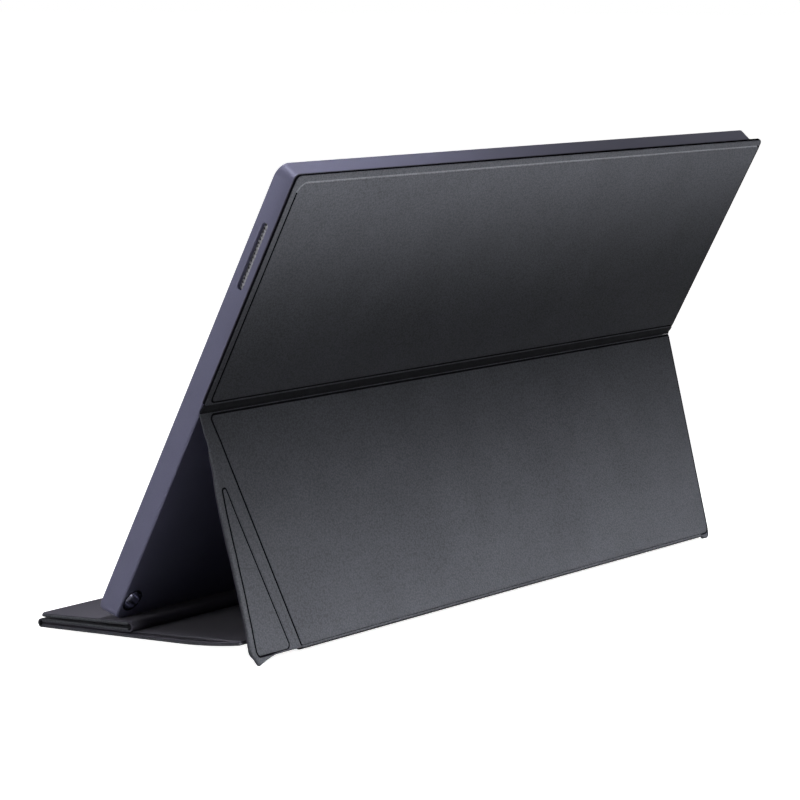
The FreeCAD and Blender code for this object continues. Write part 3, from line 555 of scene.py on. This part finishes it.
socket = finish("socket_steel", (0.6, 0.6, 0.62), 0.28, metal=1.0, grain_mm=0.3, relief_mm=0.003)
grille = finish("grille_metal", (0.2, 0.2, 0.22), 0.45, metal=0.5, grain_mm=0.2, relief_mm=0.004)
lead = finish("lead_sheath", (0.02, 0.02, 0.02), 0.5)
button = finish("button_satin", (0.15, 0.15, 0.25), 0.35, metal=0.7, grain_mm=0.25, relief_mm=0.003)
# Polished metal for the pen hole sleeve, its colour darkened as painted shade of the shaded hole
pen_ring_shade_metal = finish("pen_ring_polished_painted_shade", (0.09, 0.09, 0.12), 0.14, metal=1.0, grain_mm=0.5,
                    relief_mm=0.002)
window = finish("light_window", (0.25, 0.3, 0.35), 0.3, clear=0.4, relief_mm=0.002)
magnet = finish("magnet_nickel", (0.62, 0.6, 0.57), 0.25, metal=1.0, relief_mm=0.003)

node_finish = {
    housing: ["rear_housing"],
    bezel: ["front_bezel"],
    glass: ["lcd_cell"],
    film: ["optical_films", "reflector_sheet"],
    acrylic: ["light_guide"],
    circuit: ["panel_driver_board", "main_board", "button_board", "led_bar"],
    steel: ["panel_tray", "board_screws", "board_shield", "keeper_plates"],
    tape: ["panel_tapes"],
    flex: ["panel_flexes", "panel_cable"],
    black: ["picture_chip", "audio_jack", "speaker_right", "speaker_left"],
    socket: ["usb_c_sockets", "hdmi_micro_socket"],
    grille: ["speaker_mesh_right", "speaker_mesh_left"],
    lead: ["speaker_leads"],
    button: ["power_button", "menu_button", "select_button"],
    pen_ring_shade_metal: ["pen_hole_sleeve"],
    window: ["status_light"],
    magnet: ["cover_magnets", "flap_magnets"],
    board: [panel + "_board" for panel in ("upper", "stand", "corner", "spine", "lower", "middle", "top")],
}
for node_material, names in node_finish.items():
    for name in names:
        mesh = frame["nodes"][name].data
        mesh.materials.clear()
        mesh.materials.append(node_material)

# Skin, then the painted groove shade in slot 1
skin_and_groove_shade = [skin, groove_shade]


def settle(piece, slot, body, *nodes):
    """Piece that rides with a body and stands for its plain solids."""
    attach(piece, body)
    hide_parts(*nodes)


def settle_fold(piece, slot, bodies, start, end, *nodes):
    """Piece that lies between two bodies, kept fixed in the shared frame, and stands for its plain solid."""
    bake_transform(piece)
    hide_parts(*nodes)


# Upper panel
upper_outline = rectangle(-cover_half, cover_half, upper_low, upper_high)
upper_radii = [1.0, 1.0, 2.5, 2.5]
upper_edges = [square_edge, edge_round, edge_round, edge_round]
upper_groove = rectangle(-178.6, 176.3, 117.4, 224.5)
upper_groove_radii = [0.8, 2.5, 4.5, 1.6]
upper_top_side = 2
# Upper panel: its side walls and first roll rings take the painted groove shade
piece = boarded("upper_cover", display.at, upper_outline, upper_radii, upper_edges, upper_groove,
                upper_groove_radii, upper_levels[1], upper_levels[2], skin_and_groove_shade + [groove_highlight], wall=1)
# Painted highlight along the upper panel's top groove
paint_groove_highlight(piece, upper_top_side, len(upper_outline))
settle(piece, "cover_skin", "display", "upper_skin")
piece = plain_sheet("upper_inner", display.at, upper_outline, upper_radii, upper_levels[0] - upper_lift,
                    upper_levels[1], lining, [thin_edge] * 4)
settle(piece, "cover_lining", "display", "upper_lining")

# Soft valley between the upper panel and the stand
upper_mid = upper_levels[2] + hem_drop + strip_thickness / 2
stand_mid = stand_levels[2] - hem_drop - strip_thickness / 2
valley = curve(side_point(display.at(0, upper_low - seam, upper_mid)),
               side_point(display.at(0, upper_low - valley_runs[0], upper_mid)),
               side_point(stand.at(0, stand_start - valley_runs[1], stand_mid)),
               side_point(stand.at(0, stand_start - seam, stand_mid)))
# The valley strip is in the painted shade skin
piece = bent_strip("valley_strip", valley, strip_thickness, -cover_half, cover_half, fold_shade_skin)
settle_fold(piece, "cover_skin", ("display", "stand"), display.at(0, upper_low, upper_mid),
            stand.at(0, stand_start, stand_mid), "fold_strip")

# Stand: main panel with the far ear
stand_outline = [(-cover_half, stand_start), (crease_top, stand_start), (crease_foot, stand_length),
                 (-164, stand_length), (-171.6, stand_length + 0.05), (-173.2, stand_length + 1.8),
                 (-cover_half, stand_length + 2.4)]
stand_radii = [0.6, 0.3, 0.3, 14, 2, 1.8, 5]
stand_edges = [square_edge, square_edge, edge_round, edge_round, edge_round, edge_round, edge_round]
stand_groove = [(-178.7, 0.95), (174.2, 0.95), (146.2, 105.6), (-158, 105.6), (-167, 105.6), (-172, 105.6),
                (-178.7, 105.6)]
stand_groove_radii = [0.8, 2.2, 1.6, 2, 2, 2, 4]
piece = boarded("stand_cover", stand_at, stand_outline, stand_radii, stand_edges, stand_groove,
                stand_groove_radii, stand_levels[1], stand_levels[2], skin_and_groove_shade)
settle(piece, "cover_skin", "stand", "stand_skin")
inner_outline = [(-cover_half, stand_start), (crease_top, stand_start), (crease_foot, stand_length),
                 (-cover_half, stand_length)]
piece = plain_sheet("stand_inner", stand_at, inner_outline, [0.6, 0.3, 0.3, 4], stand_levels[0], stand_levels[1],
                    lining, [thin_edge] * 4)
settle(piece, "cover_lining", "stand", "stand_lining")

# Stand: triangular corner with the near ear
corner_outline = [(cover_half - corner_top_width, corner_top), (cover_half, corner_top), (cover_half, 103.5),
                  (176.2, ear_tip), (169.5, stand_length + 1.4), (163, stand_length),
                  (corner_foot, stand_length)]
corner_radii = [0.2, 0.2, 8, 2.2, 8, 14, 0.3]
corner_edges = [square_edge, edge_round, edge_round, edge_round, edge_round, edge_round, square_edge]
corner_groove = [(173.9, 32.6), (176.4, 32.6), (176.4, 96.0), (175.8, 105.3), (168.0, 105.3), (162.0, 105.3),
                 (153.2, 105.3)]
corner_groove_radii = [1.2, 1.2, 4, 2.5, 2, 2, 2.2]
piece = boarded("corner_cover", stand_at, corner_outline, corner_radii, corner_edges, corner_groove,
                corner_groove_radii, stand_levels[1], stand_levels[2], skin_and_groove_shade, shoulder=corner_shoulder)
settle(piece, "cover_skin", "stand_corner", "corner_skin")
corner_inner_outline = [(cover_half, corner_top), (cover_half, stand_length), (corner_foot, stand_length)]
piece = plain_sheet("corner_inner", stand_at, corner_inner_outline, [0.4, 4, 0.3], stand_levels[0],
                    stand_levels[1], lining, [thin_edge] * 3)
settle(piece, "cover_lining", "stand_corner", "corner_lining")

# Stand: strip along the diagonal crease
strip_outline = [(crease_top + seam, stand_start), (cover_half, stand_start), (cover_half, corner_top - seam),
                 (cover_half - corner_top_width - seam, corner_top - seam), (corner_foot - seam, stand_length),
                 (crease_foot + seam, stand_length)]
hem_level = stand_levels[2] - hem_drop
piece = plain_sheet("corner_crease_strip", stand_at, strip_outline, [0.05, 0.6, 0.2, 0.2, 0.05, 0.05],
                    hem_level - strip_thickness, hem_level, skin,
                    [square_edge, 0.4, square_edge, square_edge, 0.1, square_edge])
crease_x = crease_top / 2 + crease_foot / 2
settle_fold(piece, "cover_skin", ("stand", "stand_corner"), stand.at(crease_x, crease_middle, hem_level),
            stand.at(crease_x + crease_step[0], crease_middle + crease_step[1], hem_level), "corner_strip")

# Foot of the stand, spine and the strip behind it
spine_outline = rectangle(*spine_sides, *spine_span)
spine_radii = [0.5] * 4
piece = plain_sheet("spine_cover", stand.at, spine_outline, spine_radii, spine_levels[1], spine_levels[2], skin,
                    [thin_edge] * 4)
settle(piece, "cover_skin", "spine", "spine_skin")
piece = plain_sheet("spine_inner", stand.at, spine_outline, spine_radii, spine_levels[0], spine_levels[1], lining,
                    [thin_edge] * 4)
settle(piece, "cover_lining", "spine", "spine_lining")
foot_path = u_turn(stand, 1, spine_span[1] + seam, stand_length + seam, foot_turn,
                   foot_levels[0] + foot_thickness / 2, foot_levels[1] - foot_thickness / 2, foot_reach)
# The foot lip is in the painted shade skin
piece = bent_strip("foot_lip", foot_path, foot_thickness, *spine_sides, fold_shade_skin)
settle_fold(piece, "cover_skin", ("stand", "spine"), stand.at(0, stand_length, foot_levels[1]),
            stand.at(0, stand_length, foot_levels[0]), "foot_strip")
spine_mid = (spine_levels[0] + spine_levels[2]) / 2
rear_path = curve(side_point(stand.at(0, spine_span[0] - seam, spine_mid)),
                  side_point(stand.at(0, spine_span[0] - rear_run, spine_mid)),
                  side_point(lower_at(0, lower_end + rear_run, base_layer / 2)),
                  side_point(lower_at(0, lower_end + seam, base_layer / 2)))
piece = bent_strip("spine_crease_strip", rear_path, strip_thickness, *spine_sides, lining)
settle_fold(piece, "cover_lining", ("spine", "base_lower"), stand.at(0, spine_span[0], spine_mid),
            lower_at(0, lower_end, base_layer / 2), "spine_strip")

# Base flap: lower, middle and top layers
lower_outline = rectangle(-cover_half, cover_half, 0.0, lower_end)
skin_level = base_layer - base_lining
flap_radii = [0.3] * 4
piece = plain_sheet("lower_cover", lower_at, lower_outline, flap_radii, 0.0, skin_level, skin, [base_edge] * 4,
                    lower_side_points)
settle(piece, "cover_skin", "base_lower", "lower_skin")
piece = plain_sheet("lower_inner", lower_at, lower_outline, flap_radii, skin_level, base_layer, lining,
                    [lining_edge] * 4, lower_side_points)
settle(piece, "cover_lining", "base_lower", "lower_lining")
middle_outline = rectangle(-cover_half, cover_half, 0.0, middle_length)
piece = plain_sheet("middle_cover", base.at, middle_outline, flap_radii, middle_low + base_lining,
                    middle_low + base_layer, skin, [base_edge] * 4)
settle(piece, "cover_skin", "base_middle", "middle_skin")
piece = plain_sheet("middle_inner", base.at, middle_outline, flap_radii, middle_low, middle_low + base_lining,
                    lining, [lining_edge] * 4)
settle(piece, "cover_lining", "base_middle", "middle_lining")
top_outline = rectangle(-cover_half, cover_half, -top_length, -seam)
top_radii = [3.4, 3.4, 0.3, 0.3]
piece = plain_sheet("top_cover", top.at, top_outline, top_radii, 0.0, skin_level, skin, [base_edge] * 4)
settle(piece, "cover_skin", "base_top", "top_skin")
piece = plain_sheet("top_inner", top.at, inset(top_outline, top_lining_setback), top_radii, skin_level,
                    base_layer, lining, [lining_edge] * 4)
settle(piece, "cover_lining", "base_top", "top_lining")
half_strip = strip_thickness / 2
front_path = u_turn(base, -1, -seam, -seam, -fold_setback, half_strip, middle_low + base_layer - half_strip)
piece = bent_strip("front_fold", front_path, strip_thickness, -cover_half, cover_half, skin)
settle_fold(piece, "cover_skin", ("base_lower", "base_middle"), base.at(0, 0, half_strip),
            base.at(0, 0, middle_low + base_layer - half_strip), "front_fold_strip")
back_path = u_turn(base, 1, middle_length + seam, middle_length + seam, middle_length + fold_setback,
                   middle_low + half_strip, top_rise + base_layer - half_strip)
piece = bent_strip("back_fold", back_path, strip_thickness, -cover_half, cover_half, lining)
settle_fold(piece, "cover_lining", ("base_middle", "base_top"),
            base.at(0, middle_length, middle_low + half_strip),
            base.at(0, middle_length, top_rise + base_layer - half_strip), "back_fold_strip")

# Floor and light
floor_reach = 30.0
paper_tone = 0.72
paper_glow = 0.95
paper_bounce = 0.06
world_light = 0.05
floor_mesh = bpy.data.meshes.new("studio_floor")
floor_mesh.from_pydata([(-floor_reach, -floor_reach, 0), (floor_reach, -floor_reach, 0),
                        (floor_reach, floor_reach, 0), (-floor_reach, floor_reach, 0)], [], [(0, 1, 2, 3)])


def floor_finish():
    """White paper floor, shown near white with a light shadow; it bounces little light onto matte surfaces."""
    material = finish("studio_white", [paper_tone] * 3, 0.9, grain_mm=40, relief_mm=0.0, tone=0.0, shine=0.0)
    tree = material.node_tree
    paper = tree.nodes["Principled BSDF"]
    glow = tree.nodes.new("ShaderNodeEmission")
    glow.inputs["Strength"].default_value = paper_glow
    shown_paper = tree.nodes.new("ShaderNodeAddShader")
    tree.links.new(paper.outputs["BSDF"], shown_paper.inputs[0])
    tree.links.new(glow.outputs["Emission"], shown_paper.inputs[1])
    bounce = tree.nodes.new("ShaderNodeBsdfDiffuse")
    bounce.inputs["Color"].default_value = (paper_bounce, paper_bounce, paper_bounce, 1)
    path = tree.nodes.new("ShaderNodeLightPath")
    by_ray = tree.nodes.new("ShaderNodeMixShader")
    tree.links.new(path.outputs["Is Diffuse Ray"], by_ray.inputs["Fac"])
    tree.links.new(shown_paper.outputs["Shader"], by_ray.inputs[1])
    tree.links.new(bounce.outputs["BSDF"], by_ray.inputs[2])
    tree.links.new(by_ray.outputs["Shader"], tree.nodes["Material Output"].inputs["Surface"])
    return material


floor_mesh.materials.append(floor_finish())
studio_floor = bpy.data.objects.new("studio_floor", floor_mesh)
bpy.context.scene.collection.objects.link(studio_floor)


def put_lamp(name, kind, place, target, energy):
    """Lamp at a place, turned to a target."""
    data = bpy.data.lights.new(name, kind)
    data.energy = energy
    lamp = bpy.data.objects.new(name, data)
    lamp.location = place
    lamp.rotation_mode = "QUATERNION"
    lamp.rotation_quaternion = (Vector(target) - Vector(place)).to_track_quat("-Z", "Y")
    bpy.context.scene.collection.objects.link(lamp)
    return data


def soft_box(name, place, target, size, energy, spread_deg):
    """Soft box behind a grid."""
    box = put_lamp(name, "AREA", place, target, energy)
    box.shape = "RECTANGLE"
    box.size, box.size_y = size
    box.spread = math.radians(spread_deg)


overhead = put_lamp("overhead", "SUN", (0.05, -0.3, 1.0), (0, 0, 0), 0.2)
overhead.angle = math.radians(36)
soft_box("front_box", (0.2, -1.2, 0.7), (0.0, 0.0, 0.1), (1.2, 0.8), 6.0, 180)
soft_box("side_box", (0.85, -0.15, 0.2), (0.18, 0.0, 0.12), (0.5, 0.3), 0.4, 60)
soft_box("corner_box", (0.12, 0.12, 0.85), (0.24, 0.08, 0.21), (0.3, 0.3), 0.42, 28)
soft_box("foot_box", (0.02, 0.64, 0.58), (0.03, 0.06, -0.05), (0.9, 0.15), 0.92, 17)
soft_box("low_box", (0.14, 0.34, 0.02), (0.12, 0.08, 0.245), (0.9, 0.08), 0.68, 40)

# World: even light, and a white background that metal and glass show too
world = bpy.data.worlds.new("studio_world")
world.use_nodes = True
world_tree = world.node_tree
sky = world_tree.nodes["Background"]
sky.inputs["Color"].default_value = (1, 1, 1, 1)
sky.inputs["Strength"].default_value = world_light
white = world_tree.nodes.new("ShaderNodeBackground")
white.inputs["Color"].default_value = (1, 1, 1, 1)
white.inputs["Strength"].default_value = 1.0
rays = world_tree.nodes.new("ShaderNodeLightPath")
shown = rays.outputs["Is Camera Ray"]
for ray in ("Is Glossy Ray", "Is Transmission Ray"):
    either = world_tree.nodes.new("ShaderNodeMath")
    either.operation = "MAXIMUM"
    world_tree.links.new(shown, either.inputs[0])
    world_tree.links.new(rays.outputs[ray], either.inputs[1])
    shown = either.outputs[0]
choose = world_tree.nodes.new("ShaderNodeMixShader")
world_tree.links.new(shown, choose.inputs["Fac"])
world_tree.links.new(sky.outputs["Background"], choose.inputs[1])
world_tree.links.new(white.outputs["Background"], choose.inputs[2])
world_tree.links.new(choose.outputs["Shader"], world_tree.nodes["World Output"].inputs["Surface"])
bpy.context.scene.world = world

# Camera, where the photo was taken from
camera_place = (1.03057, 0.80737, 0.28073)
camera_yaw = -2.46937
camera_pitch = -0.14530
camera_lens = 124.9
camera_sensor = 36.0
camera_far = 100.0
camera_data = bpy.data.cameras.new("camera")
camera_data.lens = camera_lens
camera_data.sensor_width = camera_sensor
camera_data.clip_end = camera_far
camera = bpy.data.objects.new("camera", camera_data)
camera.location = camera_place
camera.rotation_mode = "QUATERNION"
level_reach = math.cos(camera_pitch)
looking = Vector((level_reach * math.cos(camera_yaw), level_reach * math.sin(camera_yaw), math.sin(camera_pitch)))
camera.rotation_quaternion = looking.to_track_quat("-Z", "Y")
bpy.context.scene.collection.objects.link(camera)
bpy.context.scene.camera = camera
bpy.context.scene.view_settings.view_transform = "Standard"
